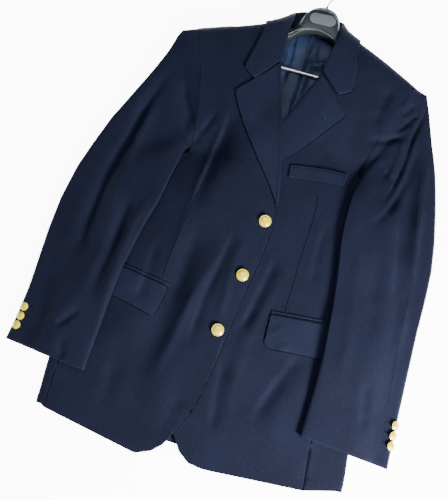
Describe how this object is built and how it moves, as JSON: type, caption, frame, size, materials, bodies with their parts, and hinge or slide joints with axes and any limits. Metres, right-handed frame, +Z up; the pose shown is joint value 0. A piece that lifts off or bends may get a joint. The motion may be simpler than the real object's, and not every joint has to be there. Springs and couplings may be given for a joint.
{
  "type": "blazer on hanger",
  "caption": "Single-breasted tailored blazer with notched lapels, flap pockets and metal shank buttons, laid flat on its back on a plastic hanger with a trouser bar.",
  "frame": {"origin": "centre of the bounding box, on the surface that the blazer lies on", "axes": "+X to the wearer's left, +Y from hem to neck, +Z up, out of the front of the garment"},
  "size_m": [0.6826, 0.9376, 0.0417],
  "materials": {
    "navy_wool": "fine worsted wool, matt with a slight sheen",
    "satin_lining": "satin",
    "gilt_brass": "polished",
    "black_plastic": "gloss",
    "grey_plastic": "satin",
    "bright_steel": "bright"
  },
  "bodies": {
    "root": {"back_left": "navy_wool", "back_right": "navy_wool", "side_left": "navy_wool", "side_right": "navy_wool", "front_left": "navy_wool", "front_right": "navy_wool", "lapel_left": "navy_wool", "lapel_right": "navy_wool", "collar": "navy_wool", "sleeve_left_top": "navy_wool", "sleeve_left_under": "navy_wool", "sleeve_right_top": "navy_wool", "sleeve_right_under": "navy_wool", "breast_welt": "navy_wool", "flap_left": "navy_wool", "flap_right": "navy_wool", "jet_left": "navy_wool", "jet_right": "navy_wool", "back_lining": "satin_lining", "button_1": "gilt_brass", "button_2": "gilt_brass", "button_3": "gilt_brass", "cuff_button_left_1": "gilt_brass", "cuff_button_left_2": "gilt_brass", "cuff_button_left_3": "gilt_brass", "cuff_button_right_1": "gilt_brass", "cuff_button_right_2": "gilt_brass", "cuff_button_right_3": "gilt_brass", "hanger_body": "black_plastic", "hanger_badge": "grey_plastic", "trouser_bar": "bright_steel", "hook_ferrule": "black_plastic", "hanger_hook": "bright_steel"}
  },
  "joints": []
}
